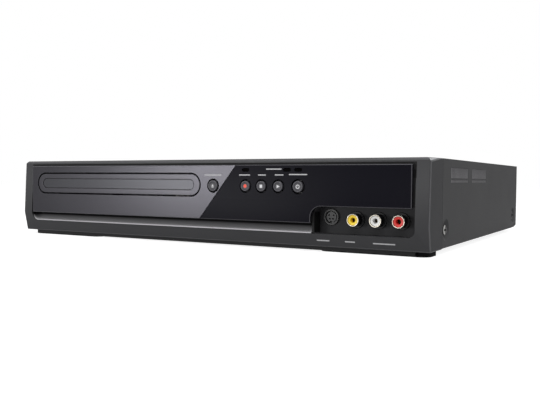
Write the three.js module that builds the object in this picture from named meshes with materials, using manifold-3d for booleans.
// A disc recorder with a motor-driven tray, in millimetres, +Z up.
// X runs across the front, Y runs back from the crease of the front bezel, and Z is the height
// above the floor.
// The last lines move the whole recorder so that the middle of its base is the origin.
import * as THREE from "three";
import { mergeVertices } from "three/addons/utils/BufferGeometryUtils.js";
import Module from "manifold-3d";

const wasm = await Module();
wasm.setup();

// Driving dimensions
const bodyWidth = 360;
const bodyHeight = 62.9;
const bezelDepth = 28;
const bezelWall = 2.4;
const coverWall = 0.8;
const plateWall = 1;
const boardWall = 1.6;
const baseBottom = 4.4;
const discDiameter = 120;
const trayTravel = 136;
const trayHeld = 54;
const trayInset = 103.5;
const loaderRearRoom = 12.3;
const rearRoom = 85;
const panelProud = 0.6;
const doorThickness = 3;
const doorDrop = 18.7;
const seatGap = 0.3;
const slideGap = 0.5;
const cutOverrun = 2;

const halfWidth = bodyWidth / 2;
const trayCentreX = trayInset - halfWidth;
const doorCentreZ = bodyHeight - doorDrop;
const baseTop = baseBottom + plateWall;
const trayFront = doorThickness - panelProud + seatGap;
const trayBack = trayFront + trayTravel + trayHeld;
const loaderBack = trayBack + loaderRearRoom;
const bodyDepth = loaderBack + rearRoom;
const weldShare = 1e-7;
const arcSegments = 3;
const doorArcSegments = 4;
const roundSegments = 24;
const pinSegments = 12;
const pegSegments = 8;

// Shapes and solids
const acrossToDepth = new THREE.Matrix4().makeBasis(
  new THREE.Vector3(0, 1, 0),
  new THREE.Vector3(0, 0, 1),
  new THREE.Vector3(1, 0, 0),
);

function solid(geometry) {
  const bare = geometry.clone();
  bare.deleteAttribute("normal");
  bare.deleteAttribute("uv");
  const merged = mergeVertices(bare, bodyWidth * weldShare);
  return new wasm.Manifold(
    new wasm.Mesh({
      numProp: 3,
      vertProperties: merged.attributes.position.array,
      triVerts: new Uint32Array(merged.index.array),
    }),
  );
}

function join(...bodies) {
  return bodies.reduce((whole, body) => whole.add(body));
}

function cut(body, ...tools) {
  return tools.reduce((rest, tool) => rest.subtract(tool), body);
}

function block([x0, x1], [y0, y1], [z0, z1]) {
  const geometry = new THREE.BoxGeometry(x1 - x0, y1 - y0, z1 - z0);
  geometry.translate((x0 + x1) / 2, (y0 + y1) / 2, (z0 + z1) / 2);
  return solid(geometry);
}

function coneX(startRadius, endRadius, [x0, x1], y, z, segments = pinSegments) {
  const geometry = new THREE.CylinderGeometry(endRadius, startRadius, x1 - x0, segments);
  geometry.rotateZ(-Math.PI / 2);
  geometry.translate((x0 + x1) / 2, y, z);
  return solid(geometry);
}

function roundX(radius, span, y, z, segments = pinSegments) {
  return coneX(radius, radius, span, y, z, segments);
}

function roundY(radius, [y0, y1], x, z, segments = pinSegments) {
  const geometry = new THREE.CylinderGeometry(radius, radius, y1 - y0, segments);
  geometry.translate(x, (y0 + y1) / 2, z);
  return solid(geometry);
}

function coneZ(lowRadius, highRadius, [z0, z1], x, y, segments = pinSegments) {
  const geometry = new THREE.CylinderGeometry(highRadius, lowRadius, z1 - z0, segments);
  geometry.rotateX(Math.PI / 2);
  geometry.translate(x, y, (z0 + z1) / 2);
  return solid(geometry);
}

function roundZ(radius, span, x, y, segments = pinSegments) {
  return coneZ(radius, radius, span, x, y, segments);
}

function extruded(shape, depth, curveSegments) {
  return new THREE.ExtrudeGeometry(shape, { depth, bevelEnabled: false, curveSegments });
}

// A plate whose outline is drawn in X and Z, from the front y0 to the back y1.
function uprightPlate(shape, [y0, y1], curveSegments = arcSegments) {
  const geometry = extruded(shape, y1 - y0, curveSegments);
  geometry.rotateX(Math.PI / 2);
  geometry.translate(0, y1, 0);
  return solid(geometry);
}

// A plate whose outline is drawn in X and Y.
function levelPlate(shape, [z0, z1], curveSegments = arcSegments) {
  const geometry = extruded(shape, z1 - z0, curveSegments);
  geometry.translate(0, 0, z0);
  return solid(geometry);
}

// A bar whose section is drawn in Y and Z.
function crossBar(shape, [x0, x1]) {
  const geometry = extruded(shape, x1 - x0, arcSegments);
  geometry.applyMatrix4(acrossToDepth);
  geometry.translate(x0, 0, 0);
  return solid(geometry);
}

function polygon(points) {
  return new THREE.Shape(points.map(([a, b]) => new THREE.Vector2(a, b)));
}

// Corner radii run from the lower left, counter-clockwise.
function roundedRectangle([x0, x1], [z0, z1], [lowerLeft, lowerRight, upperRight, upperLeft]) {
  const shape = new THREE.Shape();
  shape.absarc(x1 - lowerRight, z0 + lowerRight, lowerRight, -Math.PI / 2, 0);
  shape.absarc(x1 - upperRight, z1 - upperRight, upperRight, 0, Math.PI / 2);
  shape.absarc(x0 + upperLeft, z1 - upperLeft, upperLeft, Math.PI / 2, Math.PI);
  shape.absarc(x0 + lowerLeft, z0 + lowerLeft, lowerLeft, Math.PI, 1.5 * Math.PI);
  return shape;
}

function capsule([x0, x1], [z0, z1]) {
  const radius = (z1 - z0) / 2;
  return roundedRectangle([x0, x1], [z0, z1], [radius, radius, radius, radius]);
}

function mirrored(body) {
  return body.mirror([1, 0, 0]);
}

function around(middle, width) {
  return [middle - width / 2, middle + width / 2];
}

const recorder = new THREE.Group();

function piece(name, body, material, parent = recorder) {
  const surface = body.getMesh();
  const geometry = new THREE.BufferGeometry();
  geometry.setAttribute("position", new THREE.BufferAttribute(surface.vertProperties, 3));
  geometry.setIndex(new THREE.BufferAttribute(surface.triVerts, 1));
  geometry.computeVertexNormals();
  const mesh = new THREE.Mesh(geometry, material);
  mesh.name = name;
  parent.add(mesh);
}

// Finishes
function finish(color, roughness, metalness = 0) {
  return new THREE.MeshStandardMaterial({ color, roughness, metalness });
}
const bezelPlastic = finish("#3f3f41", 0.5);
const coverPaint = finish("#454546", 0.5);
const panelGrey = finish("#605f64", 0.3);
const windowBlack = finish("#141318", 0.08);
const trimBlack = finish("#222224", 0.3);
const buttonGrey = finish("#4a4a4f", 0.35);
const steel = finish("#b9bcc0", 0.35, 1);
const blackPlastic = finish("#1b1b1c", 0.5);
const whitePlastic = finish("#d8d8d2", 0.55);
const rubber = finish("#161616", 0.9);
const boardGreen = finish("#2d5b38", 0.6);
const nickel = finish("#cfcac0", 0.25, 1);
const yellowPlastic = finish("#e6c229", 0.45);
const redPlastic = finish("#c4302b", 0.45);
const smokedGlass = finish("#1d2426", 0.1);

// Front panel plane and the seat behind it
const panelThickness = 2.5;
const seatThickness = 2.2;
const panelFront = -panelProud;
const panelBack = panelFront + panelThickness;
const seatFront = panelBack + seatGap;
const seatBack = seatFront + seatThickness;
const throughSeat = [panelFront - cutOverrun, seatBack + cutOverrun];

// Front opening, panel and socket pocket, as seen from the front
const openingMargin = 9.5;
const openingBottom = 12.1;
const openingTopMargin = 3.1;
const openingRadius = 6.5;
const openingRightRadius = 5;
const openingTopRadius = 3;
const openingEdge = halfWidth - openingMargin;
const openingTop = bodyHeight - openingTopMargin;
const panelGapX = 1.8;
const panelGapZ = 1.2;
const panelBottom = 19.4;
const panelEdge = openingEdge - panelGapX;
const panelTop = openingTop - panelGapZ;
const pocketWall = 1.6;
const pocketDepth = 11;
const pocketWidth = 69.7;
const pocketHeight = 18.3;
const pocketRadius = 6;
const pocketRight = openingEdge - seatGap;
const pocketLeft = pocketRight - pocketWidth;
const pocketBottom = openingBottom + seatGap;
const pocketTop = pocketBottom + pocketHeight;
const pocketBack = pocketDepth + pocketWall;

// Tray door: a capsule, its opening, and a shallow inner capsule
const doorHeight = 16;
const doorWidth = 169.3;
const doorGap = 0.9;
const engravingInset = 5.5;
const engravingHeight = 7.7;
const engravingDepth = 0.3;

function doorCapsule(margin) {
  return capsule(
    around(trayCentreX, doorWidth + 2 * margin),
    around(doorCentreZ, doorHeight + 2 * margin),
  );
}
const doorHole = uprightPlate(doorCapsule(doorGap), throughSeat, doorArcSegments);
const doorPlate = uprightPlate(
  doorCapsule(0),
  [panelFront, panelFront + doorThickness],
  doorArcSegments,
);
const engraving = uprightPlate(
  capsule(
    around(trayCentreX, doorWidth - 2 * engravingInset),
    around(doorCentreZ, engravingHeight),
  ),
  [panelFront - cutOverrun, panelFront + engravingDepth],
);
piece("tray_door", cut(doorPlate, engraving), panelGrey);

// Round buttons in a row from the end of the tray door, and the indicator slots above them
const buttonDrop = 19.2;
const smallCapRadius = 3.8;
const largeCapRadius = 4.2;
const capGap = 0.95;
const openCloseGap = 11.85;
const recordPitch = 27.7;
const stopPitch = 13;
const playPitch = 13.5;
const standbyPitch = 15.3;
const indicatorDrop = 7.8;
const indicatorWidth = 6;
const indicatorHeight = 2.4;
const indicatorPitch = 8.6;
const slotArcSegments = 2;
const capSegments = 20;

const buttonZ = bodyHeight - buttonDrop;
const openCloseX = trayCentreX + doorWidth / 2 + openCloseGap;
const recordX = openCloseX + recordPitch;
const stopX = recordX + stopPitch;
const playX = stopX + playPitch;
const standbyX = playX + standbyPitch;
const buttons = [
  { name: "button_open_close", x: openCloseX, radius: largeCapRadius },
  { name: "button_record", x: recordX, radius: smallCapRadius },
  { name: "button_stop", x: stopX, radius: smallCapRadius },
  { name: "button_play", x: playX, radius: smallCapRadius },
  { name: "button_standby", x: standbyX, radius: largeCapRadius },
];
const indicatorXs = [recordX, standbyX - indicatorPitch, standbyX];
const indicatorSpan = [recordX - indicatorWidth / 2, standbyX + indicatorWidth / 2];
const indicatorZ = bodyHeight - indicatorDrop;
const buttonHoles = buttons.map(({ x, radius }) =>
  roundY(radius + capGap, throughSeat, x, buttonZ, capSegments),
);

function indicatorPlate(x, margin, span) {
  const shape = capsule(
    around(x, indicatorWidth - 2 * margin),
    around(indicatorZ, indicatorHeight - 2 * margin),
  );
  return uprightPlate(shape, span, slotArcSegments);
}
const indicatorSlots = indicatorXs.map((x) => indicatorPlate(x, 0, throughSeat));

// Phono sockets and the S-video socket in the pocket
const phonoStart = 27.1;
const phonoPitch = 15.55;
const phonoRise = 9.7;
const hubRadius = 5.5;
const svideoInset = 9.1;
const svideoRise = 11;
const svideoRadius = 5.35;
const phonoNames = ["video", "audio_left", "audio_right"];
const phonoXs = phonoNames.map((name, index) => pocketLeft + phonoStart + index * phonoPitch);
const phonoZ = pocketBottom + phonoRise;
const svideoX = pocketLeft + svideoInset;
const svideoZ = pocketBottom + svideoRise;
const throughPocket = [pocketDepth - cutOverrun, pocketBack + cutOverrun];
const pocketHoles = [
  ...phonoXs.map((x) => roundY(hubRadius + seatGap, throughPocket, x, phonoZ, capSegments)),
  roundY(svideoRadius + seatGap, throughPocket, svideoX, svideoZ, capSegments),
];

// Feet: the long front pads pass through the bezel's underside to the steel base
const footWidth = 76.5;
const footDepth = 17;
const footInset = 2.75;
const footSetback = 8.6;
const footRadius = 6.8;
const footBackRadius = 1.5;
const rearFootRadius = 10;
const rearFootInset = 40;
const rearFootMargin = 35;
const footTop = baseBottom - seatGap;

function frontFootOutline(clearance) {
  const radius = footRadius + clearance;
  const backRadius = footBackRadius + clearance;
  return roundedRectangle(
    around(halfWidth - footInset - footWidth / 2, footWidth + 2 * clearance),
    around(footSetback + footDepth / 2, footDepth + 2 * clearance),
    [radius, radius, backRadius, backRadius],
  );
}
const frontFoot = levelPlate(frontFootOutline(0), [0, footTop]);
const rearFoot = roundZ(
  rearFootRadius,
  [0, footTop],
  halfWidth - rearFootInset,
  bodyDepth - rearFootMargin,
  roundSegments,
);
piece("foot_front_right", frontFoot, rubber);
piece("foot_front_left", mirrored(frontFoot), rubber);
piece("foot_rear_right", rearFoot, rubber);
piece("foot_rear_left", mirrored(rearFoot), rubber);

// Ledge trim: a cove under the panel with a blunt front edge
const ledgeFront = 1.3;
const ledgeEdge = 0.9;
const ledgeReach = 6.9;
const ledgeWall = 1.6;
const ledgeSteps = 6;
const ledgeRoof = panelBottom + slideGap;
const roofBack = ledgeFront + ledgeReach + ledgeWall;

function ledgeSection() {
  const top = ledgeRoof - seatGap;
  const rise = top - openingBottom - seatGap;
  const cove = [];
  const back = [];
  for (let step = 0; step <= ledgeSteps; step += 1) {
    const turn = (step / ledgeSteps) * (Math.PI / 2);
    cove.push([
      ledgeFront + ledgeReach * Math.sin(turn),
      top - (rise - ledgeEdge) * Math.cos(turn),
    ]);
    back.unshift([
      ledgeFront + (ledgeReach + ledgeWall) * Math.sin(turn),
      top - rise * Math.cos(turn),
    ]);
  }
  return polygon([...cove, ...back].reverse());
}
const ledgeEnds = uprightPlate(
  roundedRectangle(
    [-openingEdge + seatGap, pocketLeft - pocketWall - seatGap],
    [openingBottom + seatGap, openingTop],
    [openingRadius - seatGap, seatGap, seatGap, seatGap],
  ),
  [-cutOverrun, roofBack + cutOverrun],
);
const ledge = crossBar(ledgeSection(), [-openingEdge, pocketLeft]).intersect(ledgeEnds);
piece("ledge_trim", ledge, trimBlack);

// Front board and display: the places that the bezel's bosses and openings follow
const frontBoardFront = 20;
const frontBoardReach = 10;
const frontBoardMargin = 9;
const frontBoardDrop = 2.9;
const bossRadius = 3;
const bossInset = 4;
const middleBossDrop = 8.2;
const displayInset = 6.2;
const displayStart = 9.5;
const displayDrop = 9.9;
const displayRise = 2.7;
const tubeMargin = 1;
const tubeFront = 8;
const frontBoardLeft = openCloseX - frontBoardReach;
const frontBoardRight = halfWidth - frontBoardMargin;
const frontBoardTop = bodyHeight - frontBoardDrop;
const displayLeft = standbyX + displayStart;
const displayRight = pocketRight - displayInset;
const displayBottom = pocketTop + pocketWall + displayRise;
const displayTop = bodyHeight - displayDrop;
const frontBoardBosses = [
  [frontBoardLeft + bossInset, frontBoardTop - bossInset],
  [(stopX + playX) / 2, buttonZ - middleBossDrop],
  [frontBoardRight - bossInset, frontBoardTop - bossInset],
];

// Front bezel: a moulding that leans back from the crease to the top and to the chin
const creaseHeight = 19.3;
const topSetback = 2.2;
const topBevel = 0.9;
const chinSetback = 3.3;
const chinBottom = 3.6;
const lipSetback = 5.3;
const lipBottom = 1;
const lipInset = 10.6;
const riseStart = 12;
const riseEnd = 17;
const riseHeight = 2.5;
const undersideEnd = 24.5;
const seatOverlap = 1.5;
const bezelOutline = polygon([
  [bezelDepth, bodyHeight],
  [topSetback + topBevel, bodyHeight],
  [topSetback, bodyHeight - topBevel],
  [0, creaseHeight],
  [chinSetback, chinBottom],
  [lipSetback, chinBottom],
  [lipSetback, lipBottom],
  [riseStart, lipBottom],
  [riseEnd, riseHeight],
  [bezelDepth, chinBottom],
]);
const hollowOutline = polygon([
  [bezelDepth + cutOverrun, bodyHeight - bezelWall],
  [topSetback + bezelWall, bodyHeight - bezelWall],
  [bezelWall, creaseHeight],
  [chinSetback + bezelWall, chinBottom + bezelWall],
  [lipSetback + bezelWall, footTop],
  [bezelDepth + cutOverrun, footTop],
]);

function frontBezel() {
  const inside = halfWidth - bezelWall;
  const footHole = levelPlate(frontFootOutline(slideGap), [-cutOverrun, baseTop]);
  const besideLip = block(
    [halfWidth - lipInset, halfWidth + cutOverrun],
    [-cutOverrun, bezelDepth + cutOverrun],
    [-cutOverrun, chinBottom],
  );
  const shell = cut(
    crossBar(bezelOutline, [-halfWidth, halfWidth]),
    crossBar(hollowOutline, [-inside, inside]),
    block([-inside, inside], [undersideEnd, bezelDepth + cutOverrun], [-cutOverrun, baseBottom]),
    footHole,
    mirrored(footHole),
    besideLip,
    mirrored(besideLip),
    uprightPlate(
      roundedRectangle(
        [-openingEdge, openingEdge],
        [openingBottom, openingTop],
        [openingRadius, openingRightRadius, openingTopRadius, openingTopRadius],
      ),
      [-cutOverrun, topSetback + bezelWall + cutOverrun],
    ),
  );
  const seat = block(
    [-openingEdge - seatOverlap, openingEdge + seatOverlap],
    [seatFront, seatBack],
    [ledgeRoof, openingTop + seatOverlap],
  );
  const roof = block(
    [-openingEdge - seatOverlap, pocketLeft],
    [seatFront, roofBack],
    [ledgeRoof, ledgeRoof + pocketWall],
  );
  const bosses = frontBoardBosses.map(([x, z]) =>
    roundY(bossRadius, [seatFront, frontBoardFront - seatGap], x, z),
  );
  const pocketBlock = block(
    [pocketLeft - pocketWall, pocketRight + pocketWall],
    [seatFront, pocketBack],
    [pocketBottom - pocketWall, pocketTop + pocketWall],
  );
  const pocketRoom = uprightPlate(
    roundedRectangle(
      [pocketLeft, pocketRight],
      [pocketBottom, pocketTop],
      [pocketWall, openingRightRadius, pocketWall, pocketRadius],
    ),
    [-cutOverrun, pocketDepth],
  );
  const behindPanel = [seatFront - seatGap, seatBack + cutOverrun];
  const lightSlot = block(
    indicatorSpan,
    behindPanel,
    around(indicatorZ, indicatorHeight),
  );
  return cut(
    join(shell, seat, roof, pocketBlock, ...bosses),
    pocketRoom,
    block([displayLeft, displayRight], behindPanel, [displayBottom, displayTop]),
    lightSlot,
    doorHole,
    ...buttonHoles,
    ...pocketHoles,
  );
}

// The bezel's upper corners are eased off, most at the front and not at all at the cover
const cornerDrop = 2.4;
const cornerSlope = cornerDrop / (bezelDepth - topSetback);

function eased(body, side) {
  const inward = [-side, cornerSlope, -1];
  const reach = (cornerSlope * bezelDepth - halfWidth - bodyHeight) / Math.hypot(...inward);
  return body.trimByPlane(inward, reach);
}
piece("front_bezel", eased(eased(frontBezel(), 1), -1), bezelPlastic);

// Tray surround and display window: two flush halves of one inset panel, parted on a diagonal
const diagonalLowReach = 12;
const diagonalHighReach = 19.7;
const diagonalGap = 0.4;
const notchRadius = 7.5;
const diagonalBottom = openCloseX - diagonalLowReach;
const diagonalTop = openCloseX + diagonalHighReach;
const surroundOutline = polygon([
  [-panelEdge, panelBottom],
  [diagonalBottom - diagonalGap / 2, panelBottom],
  [diagonalTop - diagonalGap / 2, panelTop],
  [-panelEdge, panelTop],
]);

function windowOutline() {
  const notchLeft = pocketLeft - panelGapX;
  const shape = new THREE.Shape();
  shape.moveTo(diagonalBottom + diagonalGap / 2, panelBottom);
  shape.lineTo(notchLeft, panelBottom);
  shape.absarc(notchLeft + notchRadius, pocketTop - notchRadius, notchRadius, Math.PI, Math.PI / 2, true);
  shape.lineTo(panelEdge, pocketTop);
  shape.lineTo(panelEdge, panelTop);
  shape.lineTo(diagonalTop + diagonalGap / 2, panelTop);
  return shape;
}
const surround = uprightPlate(surroundOutline, [panelFront, panelBack]);
const pane = uprightPlate(windowOutline(), [panelFront, panelBack]);
piece("tray_surround", cut(surround, doorHole, ...buttonHoles), panelGrey);
piece("display_window", cut(pane, ...buttonHoles, ...indicatorSlots), windowBlack);

// Buttons: domed caps on stems that reach the switches of the front board
const capCrown = 0.5;
const capProud = 0.9;
const capShoulder = 0.6;
const capFlatShare = 0.8;
const flangeWall = 1.2;
const flangeOverlap = 0.9;
const stemRadius = 1.6;
const switchHeight = 4.3;
const buttonTravel = 1;
const switchFront = frontBoardFront - switchHeight;
const capFront = panelFront - capProud;

function buttonBody(x, radius) {
  const flangeFront = seatBack + seatGap;
  const flangeRadius = radius + capGap + flangeOverlap;
  const stemEnd = switchFront - buttonTravel - seatGap;
  const profile = [
    [0, capFront],
    [radius * capFlatShare, capFront + capCrown / 2],
    [radius, capFront + capCrown + capShoulder],
    [radius, flangeFront],
    [flangeRadius, flangeFront],
    [flangeRadius, flangeFront + flangeWall],
    [stemRadius, flangeFront + flangeWall],
    [stemRadius, stemEnd],
    [0, stemEnd],
  ];
  const outline = profile.map(([distance, y]) => new THREE.Vector2(distance, y));
  const geometry = new THREE.LatheGeometry(outline, capSegments);
  geometry.translate(x, 0, buttonZ);
  return solid(geometry);
}
for (const { name, x, radius } of buttons) {
  piece(name, buttonBody(x, radius), buttonGrey);
}

// Light guide: one clear comb, its three tips in the indicator slots and its legs at the front board
const guideBar = 2;
const guideLegWidth = 3;
const guideFront = seatBack + seatGap;
const guideTips = indicatorXs.map((x) =>
  indicatorPlate(x, seatGap, [panelFront + seatGap, guideFront + guideBar]),
);
const guideBody = block(
  indicatorSpan,
  [guideFront, guideFront + guideBar],
  around(indicatorZ, indicatorHeight),
);
const guideLegs = [recordX, standbyX].map((x) =>
  block(
    around(x, guideLegWidth),
    [guideFront, frontBoardFront - seatGap],
    around(indicatorZ, indicatorHeight),
  ),
);
piece("light_guide", join(guideBody, ...guideTips, ...guideLegs), smokedGlass);

// Front board with its switches, and the display tube that it carries
const switchSide = 6;
const switchBodies = buttons.map(({ x }) =>
  block(
    around(x, switchSide),
    [switchFront, frontBoardFront + boardWall / 2],
    around(buttonZ, switchSide),
  ),
);
const frontBoard = block(
  [frontBoardLeft, frontBoardRight],
  [frontBoardFront, frontBoardFront + boardWall],
  [pocketBottom, frontBoardTop],
);
const displayTube = block(
  [displayLeft + tubeMargin, displayRight - tubeMargin],
  [tubeFront, frontBoardFront - seatGap],
  [displayBottom + tubeMargin, displayTop - tubeMargin],
);
piece("front_board", join(frontBoard, ...switchBodies), boardGreen);
piece("display_tube", displayTube, smokedGlass);

// Jack block between the pocket and the front board, with the phono sockets in front of it
const hubFront = 10.4;
const shellRadius = 4.15;
const shellWall = 0.7;
const shellFront = 3.5;
const insulatorSetback = 0.7;
const contactRadius = 1.6;
const contactDepth = 5;
const jackBlockInset = 2;
const jackBlockFront = pocketBack + seatGap;
const insulatorFinishes = [yellowPlastic, whitePlastic, redPlastic];
const jackBody = block(
  [pocketLeft + jackBlockInset, pocketRight - jackBlockInset],
  [jackBlockFront, frontBoardFront - seatGap],
  [pocketBottom + seatGap, pocketTop],
);
const hubs = phonoXs.map((x) =>
  roundY(hubRadius, [hubFront, jackBlockFront + hubRadius], x, phonoZ, capSegments),
);
piece("av_jack_block", join(jackBody, ...hubs), blackPlastic);
phonoXs.forEach((x, index) => {
  const back = hubFront - seatGap;
  const insulatorFront = shellFront + insulatorSetback;
  const insulatorRadius = shellRadius - shellWall - seatGap;
  const shell = cut(
    roundY(shellRadius, [shellFront, back], x, phonoZ, capSegments),
    roundY(shellRadius - shellWall, [shellFront - cutOverrun, back + cutOverrun], x, phonoZ, capSegments),
  );
  const insulator = cut(
    roundY(insulatorRadius, [insulatorFront, back], x, phonoZ, capSegments),
    roundY(contactRadius, [shellFront, insulatorFront + contactDepth], x, phonoZ),
  );
  piece(`phono_shell_${phonoNames[index]}`, shell, nickel);
  piece(`phono_insulator_${phonoNames[index]}`, insulator, insulatorFinishes[index]);
});

// S-video socket: a ring round a core with four pin holes and a key slot
const svideoFront = 9.6;
const svideoRingWall = 1;
const svideoCoreRadius = 3.7;
const svideoCoreSetback = 0.5;
const svideoWellDepth = 2;
const svideoPinRadius = 0.6;
const svideoPinSegments = 6;
const svideoKeyWidth = 2.4;
const svideoKeyHeight = 1;
const svideoPinShares = [
  [-0.46, 0.35],
  [0.46, 0.35],
  [-0.3, -0.32],
  [0.3, -0.32],
];

function svideoSocket() {
  const back = jackBlockFront - seatGap;
  const well = [svideoFront - cutOverrun, svideoFront + svideoWellDepth];
  const groove = cut(
    roundY(svideoRadius - svideoRingWall, well, svideoX, svideoZ, capSegments),
    roundY(svideoCoreRadius, [svideoFront + svideoCoreSetback, back], svideoX, svideoZ),
  );
  const pinHoles = svideoPinShares.map(([across, up]) =>
    roundY(
      svideoPinRadius,
      well,
      svideoX + across * svideoCoreRadius,
      svideoZ + up * svideoCoreRadius,
      svideoPinSegments,
    ),
  );
  const keyBottom = svideoZ - svideoCoreRadius;
  const keySlot = block(around(svideoX, svideoKeyWidth), well, [keyBottom, keyBottom + svideoKeyHeight]);
  const ring = roundY(svideoRadius, [svideoFront, back], svideoX, svideoZ, capSegments);
  return cut(ring, groove, keySlot, ...pinHoles);
}
piece("s_video_socket", svideoSocket(), blackPlastic);

// Screws: cross-headed, four in the cover's side dimples and two in its back flange
const headRadius = 3.4;
const headHeight = 1.4;
const shankRadius = 1.45;
const shankReach = 5;
const crossLength = 3.6;
const crossWidth = 0.9;
const crossDepth = 0.9;
const headSegments = 16;
const screwHoleRadius = shankRadius + seatGap;
const dimpleRadius = 7.5;
const dimpleFloorRadius = 5;
const dimpleDepth = 1.8;
const dimpleZ = 16;
const frontDimpleSetback = 36.5;
const rearDimpleMargin = 18;
const rearScrewSpacing = 120;
const rearScrewDrop = 5.4;
const dimpleYs = [frontDimpleSetback, bodyDepth - rearDimpleMargin];
const rearScrewRight = rearScrewSpacing / 2;
const rearScrewXs = [-rearScrewRight, rearScrewRight];
const rearScrewZ = bodyHeight - rearScrewDrop;

function sideScrew(y) {
  const seat = halfWidth - dimpleDepth + seatGap;
  const crown = seat + headHeight;
  const recess = [crown - crossDepth, crown + cutOverrun];
  return cut(
    join(
      roundX(headRadius, [seat, crown], y, dimpleZ, headSegments),
      roundX(shankRadius, [seat - shankReach, seat + headHeight / 2], y, dimpleZ),
    ),
    block(recess, around(y, crossLength), around(dimpleZ, crossWidth)),
    block(recess, around(y, crossWidth), around(dimpleZ, crossLength)),
  );
}

function rearScrew(x) {
  const seat = bodyDepth + seatGap;
  const crown = seat + headHeight;
  const recess = [crown - crossDepth, crown + cutOverrun];
  return cut(
    join(
      roundY(headRadius, [seat, crown], x, rearScrewZ, headSegments),
      roundY(shankRadius, [seat - shankReach, seat + headHeight / 2], x, rearScrewZ),
    ),
    block(around(x, crossLength), recess, around(rearScrewZ, crossWidth)),
    block(around(x, crossWidth), recess, around(rearScrewZ, crossLength)),
  );
}
["front", "rear"].forEach((place, index) => {
  const screw = sideScrew(dimpleYs[index]);
  piece(`side_screw_right_${place}`, screw, steel);
  piece(`side_screw_left_${place}`, mirrored(screw), steel);
});
piece("rear_screw_left", rearScrew(-rearScrewRight), steel);
piece("rear_screw_right", rearScrew(rearScrewRight), steel);

// Top cover: folded steel with a back flange, two vent blocks in its right side, and the screw dimples
const coverBottom = 4.2;
const coverRearRise = 1.7;
const coverRearSlope = 12;
const coverFlange = 10;
const coverFlangeInset = 8;
const ventDrop = 5.6;
const ventSlotHeight = 7.4;
const ventRowGap = 0.9;
const ventLowHeight = 1.9;
const ventSlotWidth = 1.8;
const ventPitch = 3.1;
const ventCount = 15;
const frontVentStart = 48.4;
const rearVentStart = 107.5;
const coverFront = bezelDepth + seatGap;

function ventBlock(start) {
  const across = [halfWidth - cutOverrun, halfWidth + cutOverrun];
  const top = bodyHeight - ventDrop;
  const bottom = top - ventSlotHeight;
  const rows = [
    [bottom, top],
    [bottom - ventRowGap - ventLowHeight, bottom - ventRowGap],
  ];
  const slots = [];
  for (let index = 0; index < ventCount; index += 1) {
    const y = start + index * ventPitch;
    for (const row of rows) {
      slots.push(block(across, [y, y + ventSlotWidth], row));
    }
  }
  return slots;
}

function topCover() {
  const inside = halfWidth - coverWall;
  const floor = halfWidth - dimpleDepth;
  const sideOutline = polygon([
    [bodyDepth, bodyHeight],
    [coverFront, bodyHeight],
    [coverFront, coverBottom],
    [bodyDepth - coverRearSlope, coverBottom],
    [bodyDepth, coverBottom + coverRearRise],
  ]);
  const folded = cut(
    crossBar(sideOutline, [-halfWidth, halfWidth]),
    block([-inside, inside], [0, bodyDepth + cutOverrun], [-cutOverrun, bodyHeight - coverWall]),
  );
  const backFlange = block(
    [-inside + coverFlangeInset, inside - coverFlangeInset],
    [bodyDepth - coverWall, bodyDepth],
    [bodyHeight - coverFlange, bodyHeight - coverWall / 2],
  );
  const bumps = [];
  const pockets = [];
  for (const y of dimpleYs) {
    const bump = coneX(
      dimpleFloorRadius,
      dimpleRadius,
      [floor - coverWall, inside + coverWall / 2],
      y,
      dimpleZ,
      roundSegments,
    );
    const pocket = join(
      coneX(dimpleFloorRadius - coverWall, dimpleRadius, [floor, halfWidth], y, dimpleZ, roundSegments),
      roundX(dimpleRadius, [halfWidth, halfWidth + cutOverrun], y, dimpleZ, roundSegments),
      roundX(screwHoleRadius, [floor - cutOverrun, halfWidth], y, dimpleZ),
    );
    bumps.push(bump, mirrored(bump));
    pockets.push(pocket, mirrored(pocket));
  }
  const flangeHoles = rearScrewXs.map((x) =>
    roundY(screwHoleRadius, [bodyDepth - cutOverrun, bodyDepth + cutOverrun], x, rearScrewZ),
  );
  return cut(
    join(folded, backFlange, ...bumps),
    ...pockets,
    ...flangeHoles,
    ...ventBlock(frontVentStart),
    ...ventBlock(rearVentStart),
  );
}
piece("top_cover", topCover(), coverPaint);

// Rear panel: holes for the phono rows, the aerial sockets and the mains inlet, and a fan grille
const boardRise = 5.6;
const rearPhonoCount = 4;
const rearPhonoReach = 51;
const rearPhonoPitch = 16;
const rearPhonoRowShares = [0.275, 0.758];
const rearScrewRoom = 11.5;
const aerialGap = 28;
const aerialPitch = 22;
const aerialZ = 30;
const aerialRadius = 4.7;
const aerialBoreRadius = 1.2;
const inletInset = 30;
const inletZ = 22;
const inletWidth = 22;
const inletHeight = 12;
const fanInset = 45;
const fanBottom = 16;
const fanRoom = 22.9;
const grilleReachShare = 0.875;
const grilleSlotShare = 0.12;
const grilleRibShare = 0.09;
const grilleCount = 8;
const rearPanelFront = bodyDepth - coverWall - seatGap - plateWall;
const rearPanelBack = rearPanelFront + plateWall;
const flangeOutside = halfWidth - dimpleDepth - coverWall - seatGap;
const boardBottom = baseTop + boardRise;
const boardTop = boardBottom + boardWall;
const fanX = fanInset - halfWidth;
const fanSide = bodyHeight - fanRoom;
const fanReach = fanSide / 2;
const fanZ = fanBottom + fanReach;
const grilleRadius = grilleReachShare * fanReach;
const grilleSlot = grilleSlotShare * fanReach;
const grilleRib = grilleRibShare * fanReach;
const rearBlockBottom = boardTop + seatGap;
const rearBlockTop = rearScrewZ - rearScrewRoom;
const rearPhonoStart = fanX + rearPhonoReach;
const rearPhonoEnd = rearPhonoStart + (rearPhonoCount - 1) * rearPhonoPitch;
const rearPhonoPlaces = [];
for (let column = 0; column < rearPhonoCount; column += 1) {
  for (const rowShare of rearPhonoRowShares) {
    rearPhonoPlaces.push([
      rearPhonoStart + column * rearPhonoPitch,
      rearBlockBottom + rowShare * (rearBlockTop - rearBlockBottom),
    ]);
  }
}
const aerialLeft = rearPhonoEnd + aerialGap;
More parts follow.
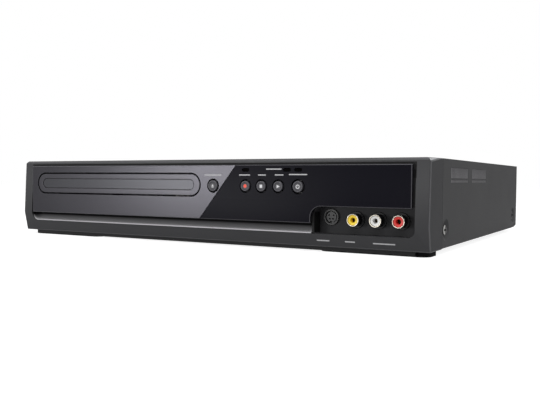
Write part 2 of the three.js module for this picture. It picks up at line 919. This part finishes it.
const aerialRight = aerialLeft + aerialPitch;
const aerialXs = [aerialLeft, aerialRight];
const inletX = halfWidth - inletInset;

function rearPanel() {
  const through = [rearPanelFront - cutOverrun, rearPanelBack + cutOverrun];
  const plate = block(
    [-flangeOutside, flangeOutside],
    [rearPanelFront, rearPanelBack],
    [baseBottom + coverRearRise, bodyHeight - coverWall - seatGap],
  );
  const grille = [];
  for (let index = 0; index < grilleCount; index += 1) {
    const rise = (index - (grilleCount - 1) / 2) * (grilleSlot + grilleRib);
    const reach = Math.sqrt(grilleRadius ** 2 - (Math.abs(rise) + grilleSlot / 2) ** 2);
    grille.push(block(around(fanX, 2 * reach), through, around(fanZ + rise, grilleSlot)));
  }
  const phonoHoles = rearPhonoPlaces.map(([x, z]) => roundY(shellRadius + seatGap, through, x, z));
  const aerialHoles = aerialXs.map((x) => roundY(aerialRadius + seatGap, through, x, aerialZ));
  const inletHole = block(
    around(inletX, inletWidth + 2 * seatGap),
    through,
    around(inletZ, inletHeight + 2 * seatGap),
  );
  const screwHoles = rearScrewXs.map((x) => roundY(screwHoleRadius, through, x, rearScrewZ));
  return cut(plate, ...grille, ...phonoHoles, ...aerialHoles, inletHole, ...screwHoles);
}
piece("rear_panel", rearPanel(), steel);

// Loader: the tray's places, which the frame, the gears and the main board follow
const traySideRoom = 11;
const trayWall = 3;
const deckRise = 4.2;
const deckWall = 2;
const railHeight = 10;
const wellDepth = 4;
const wellFloorWall = 1.8;
const wellGap = 2;
const wellMargin = 4.3;
const loaderWall = 2.5;
const wellRadius = discDiameter / 2 + wellGap;
const trayWidth = 2 * (wellRadius + traySideRoom);
const [trayLeft, trayRight] = around(trayCentreX, trayWidth);
const trayX = [trayLeft, trayRight];
const trayTop = doorCentreZ + deckRise;
const railBottom = trayTop - railHeight;
const wellTop = trayTop - wellDepth;
const wellBottom = wellTop - wellFloorWall;
const discCentreY = trayFront + trayWall + wellMargin + wellRadius;
const loaderFront = roofBack + slideGap;
const loaderInside = trayWidth / 2 + slideGap;
const loaderOutside = loaderInside + loaderWall;

// Boards: an L-shaped main board with the tuner can, and the power board
const boardGap = 1.5;
const boardMargin = 9;
const mainBoardClearance = 6.5;
const mainBoardRight = 64;
const mainBoardFront = 40;
const mainBoardStepGap = 7;
const powerBoardGap = 8;
const powerBoardFront = 100;
const pegInset = 6;
const tunerDepth = 45;
const tunerTopMargin = 8;
const tunerMargin = 11.7;
const aerialReach = 7.5;
const processorSide = 28;
const processorY = 134;
const encoderSide = 24;
const encoderX = -48;
const chipHeight = 3;
const capacitorRadius = 9;
const capacitorHeight = 32;
const capacitorInset = 24;
const capacitorY = 225;
const sinkInset = 8;
const sinkWall = 4;
const sinkHeight = 30;
const sinkFront = 130;
const sinkBack = 180;
const panelInside = rearPanelFront - seatGap;
const boardBack = panelInside - boardGap;
const mainBoardLeft = boardMargin - halfWidth;
const mainBoardInner = trayCentreX + loaderOutside + mainBoardClearance;
const mainBoardStep = loaderBack + mainBoardStepGap;
const powerBoardLeft = mainBoardRight + powerBoardGap;
const powerBoardRight = halfWidth - boardMargin;

function mainBoard() {
  const board = levelPlate(
    polygon([
      [mainBoardInner, mainBoardFront],
      [mainBoardRight, mainBoardFront],
      [mainBoardRight, boardBack],
      [mainBoardLeft, boardBack],
      [mainBoardLeft, mainBoardStep],
      [mainBoardInner, mainBoardStep],
    ]),
    [boardBottom, boardTop],
  );
  const chipSpan = [boardBottom, boardTop + chipHeight];
  const processor = block(
    around((mainBoardInner + mainBoardRight) / 2, processorSide),
    around(processorY, processorSide),
    chipSpan,
  );
  const encoder = block(
    around(encoderX, encoderSide),
    around((mainBoardStep + boardBack) / 2, encoderSide),
    chipSpan,
  );
  const tunerCan = block(
    [aerialLeft - tunerMargin, aerialRight + tunerMargin],
    [panelInside - tunerDepth, panelInside],
    [boardBottom, aerialZ + tunerTopMargin],
  );
  const sockets = aerialXs.map((x) =>
    roundY(aerialRadius, [panelInside - aerialRadius, rearPanelBack + aerialReach], x, aerialZ),
  );
  const bores = aerialXs.map((x) =>
    roundY(
      aerialBoreRadius,
      [rearPanelBack, rearPanelBack + aerialReach + cutOverrun],
      x,
      aerialZ,
      pegSegments,
    ),
  );
  return cut(join(board, processor, encoder, tunerCan, ...sockets), ...bores);
}
piece("main_board", mainBoard(), boardGreen);

function powerBoard() {
  const board = block(
    [powerBoardLeft, powerBoardRight],
    [powerBoardFront, boardBack],
    [boardBottom, boardTop],
  );
  const capacitor = roundZ(
    capacitorRadius,
    [boardBottom, boardTop + capacitorHeight],
    powerBoardLeft + capacitorInset,
    capacitorY,
    headSegments,
  );
  const sinkLeft = powerBoardLeft + sinkInset;
  const sink = block(
    [sinkLeft, sinkLeft + sinkWall],
    [sinkFront, sinkBack],
    [boardBottom, boardTop + sinkHeight],
  );
  return join(board, capacitor, sink);
}
piece("power_board", powerBoard(), boardGreen);

// Transformer: a wound core that stands on the power board
const transformerWidth = 40;
const transformerDepth = 34;
const transformerHeight = 30;
const transformerInset = 52;
const transformerY = 157;
const bobbinFlare = 4;
const bobbinHeight = 18;
const transformerX = powerBoardLeft + transformerInset;
const coreBottom = boardTop + seatGap;
const core = block(
  around(transformerX, transformerWidth),
  around(transformerY, transformerDepth),
  [coreBottom, coreBottom + transformerHeight],
);
const bobbin = block(
  around(transformerX, transformerWidth - 2 * bobbinFlare),
  around(transformerY, transformerDepth + 2 * bobbinFlare),
  around(coreBottom + transformerHeight / 2, bobbinHeight),
);
piece("transformer", join(core, bobbin), blackPlastic);

// Base chassis: a steel pan with side flanges for the cover's screws and pegs for the boards
const flangeHeight = 20;
const pegRadius = 2.5;
const pegPlaces = [
  [mainBoardInner + pegInset, mainBoardFront + pegInset],
  [mainBoardRight - pegInset, mainBoardFront + pegInset],
  [mainBoardRight - pegInset, boardBack - pegInset],
  [mainBoardLeft + pegInset, mainBoardStep + pegInset],
  [mainBoardLeft + pegInset, boardBack - pegInset],
  [powerBoardLeft + pegInset, powerBoardFront + pegInset],
  [powerBoardRight - pegInset, powerBoardFront + pegInset],
  [powerBoardLeft + pegInset, boardBack - pegInset],
  [powerBoardRight - pegInset, boardBack - pegInset],
];

function baseChassis() {
  const floor = block(
    [-flangeOutside, flangeOutside],
    [lipSetback + bezelWall + seatGap, panelInside],
    [baseBottom, baseTop],
  );
  const flange = block(
    [flangeOutside - plateWall, flangeOutside],
    [bezelDepth, panelInside],
    [baseBottom, baseBottom + flangeHeight],
  );
  const flangeHoles = dimpleYs.map((y) => roundX(screwHoleRadius, [-halfWidth, halfWidth], y, dimpleZ));
  const pegs = pegPlaces.map(([x, y]) =>
    roundZ(pegRadius, [baseBottom, boardBottom - seatGap], x, y, pegSegments),
  );
  return cut(join(floor, flange, mirrored(flange), ...pegs), ...flangeHoles);
}
piece("base_chassis", baseChassis(), steel);

// Rear jack block with its two rows of phono sockets
const rearBlockMargin = 8;
const rearBlockDepth = 12;
const rearPhonoProud = 7;

function rearJackBlock() {
  const body = block(
    [rearPhonoStart - rearBlockMargin, rearPhonoEnd + rearBlockMargin],
    [panelInside - rearBlockDepth, panelInside],
    [rearBlockBottom, rearBlockTop],
  );
  const barrels = rearPhonoPlaces.map(([x, z]) =>
    roundY(shellRadius, [panelInside - shellRadius, rearPanelBack + rearPhonoProud], x, z),
  );
  const bores = rearPhonoPlaces.map(([x, z]) =>
    roundY(
      contactRadius,
      [rearPanelBack + rearPhonoProud - contactDepth, rearPanelBack + rearPhonoProud + cutOverrun],
      x,
      z,
      pegSegments,
    ),
  );
  return cut(join(body, ...barrels), ...bores);
}
piece("rear_jack_block", rearJackBlock(), blackPlastic);

// Mains inlet: a two-pin socket in the rear panel, soldered to the power board
const inletDepth = 20;
const inletProud = 1.5;
const inletWellDepth = 12;
const inletWellMargin = 2.2;
const inletPinRadius = 1.2;
const inletPinSpacing = 8.6;
const inletCollar = 1.6;

function mainsInlet() {
  const rimFront = rearPanelBack + seatGap;
  const across = around(inletX, inletWidth);
  const rim = block(
    around(inletX, inletWidth + 2 * inletCollar),
    [rimFront, rimFront + inletProud],
    around(inletZ, inletHeight + 2 * inletCollar),
  );
  const length = [panelInside - inletDepth, rimFront + inletProud];
  const body = block(across, length, around(inletZ, inletHeight));
  const foot = block(across, [panelInside - inletDepth, boardBack], [boardTop + seatGap, inletZ]);
  const well = uprightPlate(
    capsule(
      around(inletX, inletWidth - 2 * inletWellMargin),
      around(inletZ, inletHeight - 2 * inletWellMargin),
    ),
    [rearPanelBack - inletWellDepth, rimFront + inletProud + cutOverrun],
  );
  const pins = [-inletPinSpacing / 2, inletPinSpacing / 2].map((offset) =>
    roundY(
      inletPinRadius,
      [rearPanelBack - inletWellDepth - inletPinRadius, rearPanelBack],
      inletX + offset,
      inletZ,
      pegSegments,
    ),
  );
  return join(cut(join(body, foot, rim), well), ...pins);
}
piece("mains_inlet", mainsInlet(), blackPlastic);

// Cooling fan: a square frame with a hub on struts, and the rotor that turns on it
const fanDepth = 10;
const fanBoreShare = 0.92;
const fanHubShare = 0.475;
const fanHubDepth = 2;
const fanBladeCount = 7;
const fanBladeWall = 1;
const fanBladeDepth = 6;
const fanBladeGap = 0.8;
const fanBladeTurn = THREE.MathUtils.degToRad(35);
const strutWidth = 2.4;
const fanFront = panelInside - fanDepth;
const fanBoreRadius = fanBoreShare * fanReach;
const fanHubRadius = fanHubShare * fanReach;

function fanFrame() {
  const backing = [panelInside - fanHubDepth, panelInside];
  const ring = cut(
    block(around(fanX, fanSide), [fanFront, panelInside], around(fanZ, fanSide)),
    roundY(fanBoreRadius, [fanFront - cutOverrun, panelInside + cutOverrun], fanX, fanZ, roundSegments),
  );
  const hub = roundY(fanHubRadius, backing, fanX, fanZ, headSegments);
  const strutSpan = 2 * fanBoreRadius + strutWidth / 2;
  return join(
    ring,
    hub,
    block(around(fanX, strutSpan), backing, around(fanZ, strutWidth)),
    block(around(fanX, strutWidth), backing, around(fanZ, strutSpan)),
  );
}

function fanRotor() {
  const hubBack = panelInside - fanHubDepth - seatGap;
  const hubStart = fanFront + seatGap;
  const reach = fanBoreRadius - fanBladeGap;
  const blades = [];
  for (let index = 0; index < fanBladeCount; index += 1) {
    const geometry = new THREE.BoxGeometry(reach - fanHubRadius / 2, fanBladeDepth, fanBladeWall);
    geometry.rotateX(fanBladeTurn);
    geometry.translate((reach + fanHubRadius / 2) / 2, 0, 0);
    geometry.rotateY((index * 2 * Math.PI) / fanBladeCount);
    geometry.translate(fanX, (hubStart + hubBack) / 2, fanZ);
    blades.push(solid(geometry));
  }
  return join(roundY(fanHubRadius, [hubStart, hubBack], fanX, fanZ, headSegments), ...blades);
}
piece("fan_frame", fanFrame(), blackPlastic);
piece("fan_rotor", fanRotor(), blackPlastic);

// Gear train: a belt turns the pulley gear, whose pinion turns the wheel of the drive gear,
// whose own pinion drives the rack under the tray
const gearModule = 1;
const rackPinionTeeth = 16;
const wheelTeeth = 36;
const smallPinionTeeth = 12;
const toothThinningShare = 0.17;
const addendumShare = 0.8;
const dedendumShare = 1.2;
const pressureAngle = THREE.MathUtils.degToRad(20);
const rackWall = 3.5;
const rackInset = 9.5;
const rackSpareTeeth = 3;
const gearSideGap = 1;
const rackLine = trayRight - rackInset - rackWall;
const rackPitchX = rackLine - dedendumShare * gearModule;
const wheelRadius = (wheelTeeth * gearModule) / 2;
const driveGearX = rackPitchX - (rackPinionTeeth * gearModule) / 2;
const driveGearY = loaderFront + wheelRadius + gearSideGap;
const pulleyGearX = driveGearX - wheelRadius - (smallPinionTeeth * gearModule) / 2;
const toothHalf = (Math.PI * gearModule) / 4 - toothThinningShare * gearModule;
const tipHalf = toothHalf - addendumShare * gearModule * Math.tan(pressureAngle);
const rootHalf = toothHalf + dedendumShare * gearModule * Math.tan(pressureAngle);

// A gear with straight-flanked teeth, thinned for backlash, its first tooth at the angle phase.
function gear(teeth, phase, heights, x, y) {
  const tip = (teeth * gearModule) / 2 + addendumShare * gearModule;
  const root = (teeth * gearModule) / 2 - dedendumShare * gearModule;
  const corners = [
    [root, -rootHalf / root],
    [tip, -tipHalf / tip],
    [tip, tipHalf / tip],
    [root, rootHalf / root],
  ];
  const points = [];
  for (let tooth = 0; tooth < teeth; tooth += 1) {
    const angle = phase + (tooth * 2 * Math.PI) / teeth;
    for (const [radius, turn] of corners) {
      points.push([x + radius * Math.cos(angle + turn), y + radius * Math.sin(angle + turn)]);
    }
  }
  return levelPlate(polygon(points), heights);
}

// The rack's teeth point to -X and leave a gap at the drive gear's axis.
function rackTeeth(heights) {
  const pitch = Math.PI * gearModule;
  const tipX = rackPitchX - addendumShare * gearModule;
  const embedX = rackLine + rackWall / 2;
  const toothCount = Math.ceil(trayTravel / pitch) + 2 * rackSpareTeeth;
  const teeth = [];
  for (let index = 0; index < toothCount; index += 1) {
    const y = driveGearY + (index - rackSpareTeeth + 1 / 2) * pitch;
    const outline = polygon([
      [embedX, y - rootHalf],
      [embedX, y + rootHalf],
      [rackLine, y + rootHalf],
      [tipX, y + tipHalf],
      [tipX, y - tipHalf],
      [rackLine, y - rootHalf],
    ]);
    teeth.push(levelPlate(outline, heights));
  }
  return teeth;
}

// Disc tray: a deck with a stepped well for the disc, side rails, a slot for the turntable, and the rack
const smallWellRadius = 41;
const smallWellDepth = 0.8;
const traySlotWidth = 34;
const traySlotReach = 68;
const traySlotStart = 17;
const wellSegments = 40;

function discTray() {
  const well = (radius, span) => roundZ(radius, span, trayCentreX, discCentreY, wellSegments);
  const underDeck = trayTop - deckWall / 2;
  const length = [trayFront, trayBack];
  const deck = block(trayX, length, [trayTop - deckWall, trayTop]);
  const bowl = well(wellRadius + deckWall, [wellBottom, underDeck]);
  const leftRail = block([trayLeft, trayLeft + trayWall], length, [railBottom, underDeck]);
  const rightRail = block([trayRight - trayWall, trayRight], length, [railBottom, underDeck]);
  const frontWall = block(trayX, [trayFront, trayFront + trayWall], [railBottom, underDeck]);
  const backWall = block(trayX, [trayBack - trayWall, trayBack], [wellBottom, underDeck]);
  const rackBar = block([rackLine, rackLine + rackWall], length, [railBottom, underDeck]);
  const slot = block(
    around(trayCentreX, traySlotWidth),
    [discCentreY - traySlotStart, discCentreY + traySlotReach],
    [railBottom, wellTop + smallWellDepth],
  );
  const walls = [frontWall, backWall, leftRail, rightRail, rackBar];
  const teeth = rackTeeth([railBottom, wellBottom]);
  return cut(
    join(deck, bowl, ...walls, ...teeth),
    well(wellRadius, [wellTop, trayTop + cutOverrun]),
    well(smallWellRadius, [wellTop - smallWellDepth, trayTop]),
    slot,
  );
}
piece("disc_tray", discTray(), blackPlastic);

// Loader frame: side walls with runners for the tray, over a deck that carries the motor and gears
const loaderHeadroom = 3.5;
const loaderDeckWall = 2;
const loaderDeckDrop = 28.4;
const loaderWindowMargin = 10;
const loaderWindowWidth = 96;
const runnerWidth = 5;
const runnerHeight = 1.5;
const lipWidth = 2.5;
const lipHeight = 1.5;
const lipLength = 34;
const legSide = 8;
const gearPostRadius = 1.9;
const wheelFace = 4;
const pulleyLift = 1.5;
const pulleyFace = 4;
const motorReach = 23.5;
const motorHoleRadius = 3;
const pivotDrop = 12.8;
const pivotReach = 98;
const pivotPinRadius = 2;
const bracketWall = 4;
const bracketDepth = 14;
const bracketInside = 49;
const bracketTopDrop = 0.6;
const pulleyRadius = 14.4;
const camGearGap = 0.8;
const camWall = 3;
const camBackGap = 2.5;
const camRibWall = 2;
const camRibWidth = 6;
const camRibHeight = 5;
const camRibReach = 24.5;
const camRibOffset = 5.5;
const loaderTop = trayTop + loaderHeadroom;
const loaderDeckTop = trayTop - loaderDeckDrop;
const loaderDeckBottom = loaderDeckTop - loaderDeckWall;
const wheelBottom = loaderDeckTop + gearSideGap;
const wheelTop = wheelBottom + wheelFace;
const pulleyBottom = wheelTop + pulleyLift;
const pulleyTop = pulleyBottom + pulleyFace;
const motorX = trayCentreX - motorReach;
const pivotY = discCentreY + pivotReach;
const pivotZ = trayTop - pivotDrop;
const camFront = driveGearY + pulleyRadius + camGearGap;
const traverseReach = pivotY - camFront - camWall - camBackGap;

function loaderSide(side) {
  const place = (inner, outer) =>
    side < 0 ? [trayCentreX - outer, trayCentreX - inner] : [trayCentreX + inner, trayCentreX + outer];
  const length = [loaderFront, loaderBack];
  const runnerTop = railBottom - seatGap;
  const lipBase = trayTop + seatGap;
  const legSpan = [baseTop + seatGap, loaderDeckTop];
  const bracket = cut(
    block(
      place(bracketInside, bracketInside + bracketWall),
      around(pivotY, bracketDepth),
      [loaderDeckBottom, pivotZ + bracketDepth / 2 - bracketTopDrop],
    ),
    roundX(pivotPinRadius + seatGap, [-halfWidth, halfWidth], pivotY, pivotZ),
  );
  return join(
    block(place(loaderInside, loaderOutside), length, [loaderDeckBottom, loaderTop]),
    block(place(loaderInside - runnerWidth, loaderOutside), length, [runnerTop - runnerHeight, runnerTop]),
    block(
      place(loaderInside - lipWidth, loaderOutside),
      [loaderFront, loaderFront + lipLength],
      [lipBase, lipBase + lipHeight],
    ),
    block(
      place(loaderOutside - legSide, loaderOutside),
      [loaderFront + legSide, loaderFront + 2 * legSide],
      legSpan,
    ),
    block(place(loaderOutside - legSide, loaderOutside), [loaderBack - legSide, loaderBack], legSpan),
    bracket,
  );
}

function loaderFrame() {
  const across = around(trayCentreX, 2 * loaderOutside);
  const through = [loaderDeckBottom - cutOverrun, loaderDeckTop + cutOverrun];
  const deck = block(across, [loaderFront, loaderBack], [loaderDeckBottom, loaderDeckTop]);
  const deckWindow = block(
    around(trayCentreX, loaderWindowWidth),
    [pivotY - traverseReach, pivotY - loaderWindowMargin],
    through,
  );
  const backWall = block(across, [loaderBack - loaderWall, loaderBack], [loaderDeckBottom, railBottom]);
  const posts = [
    roundZ(gearPostRadius, [loaderDeckBottom, wheelTop], driveGearX, driveGearY),
    roundZ(gearPostRadius, [loaderDeckBottom, pulleyTop], pulleyGearX, driveGearY),
  ];
  const ribs = [];
  for (const x of [trayCentreX - camRibReach, trayCentreX + camRibOffset]) {
    for (const y of [camFront - seatGap - camRibWall, camFront + camWall + seatGap]) {
      ribs.push(
        block(around(x, camRibWidth), [y, y + camRibWall], [loaderDeckBottom, loaderDeckTop + camRibHeight]),
      );
    }
  }
  return cut(
    join(deck, backWall, loaderSide(-1), loaderSide(1), ...posts, ...ribs),
    deckWindow,
    roundZ(motorHoleRadius, through, motorX, driveGearY),
  );
}
piece("loader_frame", loaderFrame(), blackPlastic);

// Loading motor, its pulley, the belt, and the two gears
const motorRadius = 12;
const shaftRadius = 1;
const grooveDepth = 1.8;
const pulleyRim = 0.8;
const motorPulleyRadius = 4.4;
const beltWall = 1.2;
const beltGap = 0.4;
const beltArcSegments = 6;
const gearTopGap = 0.6;
const motorBody = roundZ(
  motorRadius,
  [baseTop + slideGap, loaderDeckBottom - seatGap],
  motorX,
  driveGearY,
  headSegments,
);
piece("loading_motor", motorBody, steel);

function grooved(radius, x, segments) {
  const groove = [pulleyBottom + pulleyRim, pulleyTop - pulleyRim];
  return cut(
    roundZ(radius, [pulleyBottom, pulleyTop], x, driveGearY, segments),
    cut(
      roundZ(radius + cutOverrun, groove, x, driveGearY, segments),
      roundZ(radius - grooveDepth, [pulleyBottom, pulleyTop], x, driveGearY, segments),
    ),
  );
}
const motorPulley = join(
  grooved(motorPulleyRadius, motorX, pinSegments),
  roundZ(shaftRadius, [loaderDeckBottom, pulleyTop], motorX, driveGearY, pegSegments),
);
piece("motor_pulley", motorPulley, whitePlastic);

const driveGear = cut(
  join(
    gear(wheelTeeth, Math.PI, [wheelBottom, wheelTop], driveGearX, driveGearY),
    gear(rackPinionTeeth, 0, [wheelBottom, wellBottom - gearTopGap], driveGearX, driveGearY),
  ),
  roundZ(gearPostRadius + seatGap, [loaderDeckBottom, wheelTop + seatGap], driveGearX, driveGearY),
);
piece("drive_gear", driveGear, whitePlastic);

const pulleyGear = cut(
  join(
    gear(
      smallPinionTeeth,
      Math.PI / smallPinionTeeth,
      [wheelBottom, pulleyBottom + pulleyRim / 2],
      pulleyGearX,
      driveGearY,
    ),
    grooved(pulleyRadius, pulleyGearX, roundSegments),
  ),
  roundZ(gearPostRadius + seatGap, [loaderDeckBottom, pulleyTop + cutOverrun], pulleyGearX, driveGearY),
);
piece("pulley_gear", pulleyGear, whitePlastic);

// The belt's loop: two arcs joined by the outer tangents of its two pulleys.
function beltLoop(outward) {
  const near = motorPulleyRadius - grooveDepth + beltGap + outward;
  const far = pulleyRadius - grooveDepth + beltGap + outward;
  const lean = Math.asin((far - near) / (pulleyGearX - motorX));
  const shape = new THREE.Shape();
  shape.absarc(pulleyGearX, driveGearY, far, -Math.PI / 2 - lean, Math.PI / 2 + lean);
  shape.absarc(motorX, driveGearY, near, Math.PI / 2 + lean, 1.5 * Math.PI - lean);
  return shape;
}
const beltBottom = pulleyBottom + pulleyRim + beltGap;
const beltTop = pulleyTop - pulleyRim - beltGap;
const beltRoom = levelPlate(
  beltLoop(0),
  [beltBottom - cutOverrun, beltTop + cutOverrun],
  beltArcSegments,
);
const beltBody = levelPlate(beltLoop(beltWall), [beltBottom, beltTop], beltArcSegments);
piece("drive_belt", cut(beltBody, beltRoom), rubber);

// Traverse: a steel plate that tilts about its rear pins and carries the disc's drive and the pickup.
// Its pieces are drawn level, with the pins' axis as the origin, and it rests tilted down.
const traverseTilt = THREE.MathUtils.degToRad(4.5);
const traverseHalf = 45;
const traverseTail = 6;
const traversePlate = 1.2;
const spindleRadius = 13;
const spindleHeight = 5.4;
const lensInner = 24;
const rodX = 32;
const rodDrop = 2.5;
const rodRadius = 1.5;
const rodEnd = 13;
const rodStartReach = 2.5;
const holderWall = 1.2;
const holderDepth = 4;
const traverseWindowWidth = 54;
const traverseWindowBack = 18;
const feedScrewX = 40;
const feedScrewDrop = 6.3;
const feedScrewRadius = 1.5;
const camPinRadius = 1.2;
const camPinOverrun = 1.3;
const pivotPinReach = 7.5;
const plateTop = traversePlate / 2;
const plateBottom = -traversePlate / 2;
const camPinReach = camBackGap + camWall + camPinOverrun;
const rodZ = plateBottom - rodDrop;
const feedScrewZ = plateBottom - feedScrewDrop;
const spindleY = -pivotReach;
const traverseWindowFront = spindleY + spindleRadius + slideGap;
const rodFront = traverseWindowFront - rodStartReach;
const rodBack = -rodEnd;
const rodSpan = [rodFront, rodBack];
const traverse = new THREE.Group();
traverse.position.set(trayCentreX, pivotY, pivotZ);
traverse.rotation.x = traverseTilt;
recorder.add(traverse);

function holder(x, z, radius, y) {
  const half = radius + seatGap + holderWall;
  return cut(
    block([x - half, x + half], [y, y + holderDepth], [z - half, 0]),
    roundY(radius + seatGap, [y - cutOverrun, y + holderDepth + cutOverrun], x, z),
  );
}

function traverseBody() {
  const plate = cut(
    block([-traverseHalf, traverseHalf], [-traverseReach, traverseTail], [plateBottom, plateTop]),
    block(
      around(0, traverseWindowWidth),
      [traverseWindowFront, -traverseWindowBack],
      [plateBottom - cutOverrun, plateTop + cutOverrun],
    ),
  );
  const holderYs = [rodFront - seatGap, rodBack + seatGap - holderDepth];
  const holders = [-rodX, rodX].flatMap((x) => holderYs.map((y) => holder(x, rodZ, rodRadius, y)));
  return join(
    plate,
    ...holders,
    holder(feedScrewX, feedScrewZ, feedScrewRadius, rodFront - seatGap + holderDepth),
    roundX(pivotPinRadius, [-traverseHalf - pivotPinReach, -traverseHalf + pivotPinRadius], 0, 0),
    roundX(pivotPinRadius, [traverseHalf - pivotPinRadius, traverseHalf + pivotPinReach], 0, 0),
    roundY(camPinRadius, [-traverseReach - camPinReach, -traverseReach + camPinRadius], 0, 0),
  );
}
piece("traverse_plate", traverseBody(), steel, traverse);

// Spindle motor and turntable
const tableGap = 1.3;
const tableWall = 2.4;
const tableRadius = 14;
const tableHubRadius = 7.4;
const tableHubTipRadius = 6.2;
const tableHubHeight = 2.6;
const tableStubRadius = 4;
const spindleTop = plateTop + seatGap + spindleHeight;
const tableBottom = spindleTop + tableGap;
const tableTop = tableBottom + tableWall;
const spindleMotor = roundZ(spindleRadius, [plateTop + seatGap, spindleTop], 0, spindleY, roundSegments);
piece("spindle_motor", spindleMotor, steel, traverse);
const turntable = join(
  roundZ(tableRadius, [tableBottom, tableTop], 0, spindleY, roundSegments),
  roundZ(tableStubRadius, [spindleTop + seatGap, tableTop], 0, spindleY),
  coneZ(
    tableHubRadius,
    tableHubTipRadius,
    [tableTop - seatGap, tableTop + tableHubHeight],
    0,
    spindleY,
    headSegments,
  ),
);
piece("turntable", turntable, blackPlastic, traverse);

// Optical pickup on its two rods, with the lens that floats above it
const pickupWidth = 48;
const pickupFrontReach = 9;
const pickupBackReach = 19;
const pickupBottom = -6.6;
const pickupTop = 2.6;
const towerSide = 16;
const towerTop = 6;
const lugReach = 4;
const lugFront = 6;
const lugBack = 16;
const lugHeight = 4.4;
const nutFront = 2;
const nutBack = 12;
const nutHalf = 2.7;
const nutReach = 3.2;
const lensRadius = 4;
const lensWall = 1;
const lensDome = 0.9;
const lensLift = 0.6;
const lensDomeShare = 0.6;
const pickupY = spindleY + lensInner;
const lensBottom = towerTop + lensLift;
const lensEdge = lensBottom + lensWall;

function opticalPickup() {
  const span = [pickupY - pickupWidth, pickupY + pickupWidth];
  const lugOuter = rodX + lugReach;
  const body = block(
    around(0, pickupWidth),
    [pickupY - pickupFrontReach, pickupY + pickupBackReach],
    [pickupBottom, pickupTop],
  );
  const tower = block(around(0, towerSide), around(pickupY, towerSide), [0, towerTop]);
  const lugs = block(
    [-lugOuter, lugOuter],
    [pickupY - lugFront, pickupY + lugBack],
    around(rodZ, lugHeight),
  );
  const nut = block(
    [rodX + rodRadius + seatGap, feedScrewX + nutReach],
    [pickupY + nutFront, pickupY + nutBack],
    [feedScrewZ - nutHalf, feedScrewZ + nutHalf],
  );
  return cut(
    join(body, tower, lugs, nut),
    roundY(rodRadius + seatGap, span, -rodX, rodZ),
    roundY(rodRadius + seatGap, span, rodX, rodZ),
    roundY(feedScrewRadius + seatGap, span, feedScrewX, feedScrewZ),
  );
}
piece("optical_pickup", opticalPickup(), blackPlastic, traverse);

function objectiveLens() {
  const profile = [
    [0, lensBottom],
    [lensRadius, lensBottom],
    [lensRadius, lensEdge],
    [lensRadius * lensDomeShare, lensEdge + lensDome / 2],
    [0, lensEdge + lensDome],
  ];
  const outline = profile.map(([distance, z]) => new THREE.Vector2(distance, -z));
  const geometry = new THREE.LatheGeometry(outline.reverse(), pinSegments);
  geometry.rotateX(-Math.PI / 2);
  geometry.translate(0, pickupY, 0);
  return solid(geometry);
}
piece("objective_lens", objectiveLens(), smokedGlass, traverse);

// Guide rods, feed motor and feed screw
const feedMotorRadius = 6;
const feedMotorLength = 9.5;
const feedMotorFront = rodBack + 2 * seatGap;
const screwFront = rodFront + holderDepth;
const feedMotor = roundY(
  feedMotorRadius,
  [feedMotorFront, feedMotorFront + feedMotorLength],
  feedScrewX,
  feedScrewZ,
  headSegments,
);
const feedScrew = roundY(feedScrewRadius, [screwFront, feedMotorFront - seatGap], feedScrewX, feedScrewZ);
piece("guide_rod_left", roundY(rodRadius, rodSpan, -rodX, rodZ), steel, traverse);
piece("guide_rod_right", roundY(rodRadius, rodSpan, rodX, rodZ), steel, traverse);
piece("feed_motor", feedMotor, steel, traverse);
piece("feed_screw", feedScrew, steel, traverse);

// Cam slider: its sloped slot lifts the traverse's front pin as it slides to the left
const camHalf = 30;
const camTravel = 13;
const camRise = 3.8;
const camSlotGap = 0.55;

function camSlider() {
  const middle = camFront + camWall / 2;
  const lowZ = pivotZ - (pivotY - middle) * Math.tan(traverseTilt);
  const slope = Math.atan2(pivotZ - lowZ, camTravel);
  const half = camPinRadius + camSlotGap;
  const run = half * Math.sin(slope);
  const rise = half * Math.cos(slope);
  const highX = trayCentreX + camTravel;
  const slot = new THREE.Shape();
  slot.moveTo(trayCentreX + run, lowZ - rise);
  slot.lineTo(highX + run, pivotZ - rise);
  slot.absarc(highX, pivotZ, half, slope - Math.PI / 2, slope + Math.PI / 2);
  slot.absarc(trayCentreX, lowZ, half, slope + Math.PI / 2, slope + 1.5 * Math.PI);
  return cut(
    block(
      around(trayCentreX, 2 * camHalf),
      [camFront, camFront + camWall],
      [loaderDeckTop + seatGap, pivotZ + camRise],
    ),
    uprightPlate(slot, [camFront - cutOverrun, camFront + camWall + cutOverrun]),
  );
}
piece("cam_slider", camSlider(), whitePlastic);

// Clamp bridge across the loader's walls, and the magnetic clamp that hangs in its hole
const bridgeWall = 1.2;
const bridgeDepth = 40;
const clampRadius = 12;
const clampGap = 1;
const clampFlangeRadius = 17;
const clampFlangeWall = 1.6;
const clampDrop = 2.3;
const bridgeBottom = loaderTop + seatGap;
const bridgeTop = bridgeBottom + bridgeWall;
const clampTop = bridgeTop + seatGap + clampFlangeWall;
const bridge = cut(
  block(around(trayCentreX, 2 * loaderOutside), around(discCentreY, bridgeDepth), [bridgeBottom, bridgeTop]),
  roundZ(
    clampRadius + clampGap,
    [bridgeBottom - cutOverrun, bridgeTop + cutOverrun],
    trayCentreX,
    discCentreY,
    roundSegments,
  ),
);
piece("clamp_bridge", bridge, steel);
const clamp = join(
  roundZ(clampRadius, [bridgeBottom - clampDrop, clampTop], trayCentreX, discCentreY, capSegments),
  roundZ(clampFlangeRadius, [bridgeTop + seatGap, clampTop], trayCentreX, discCentreY, capSegments),
);
piece("disc_clamp", clamp, blackPlastic);

// The origin: the middle of the base, between the foremost cap and the hindmost socket
recorder.position.y = -(capFront + rearPanelBack + aerialReach) / 2;

export default recorder;
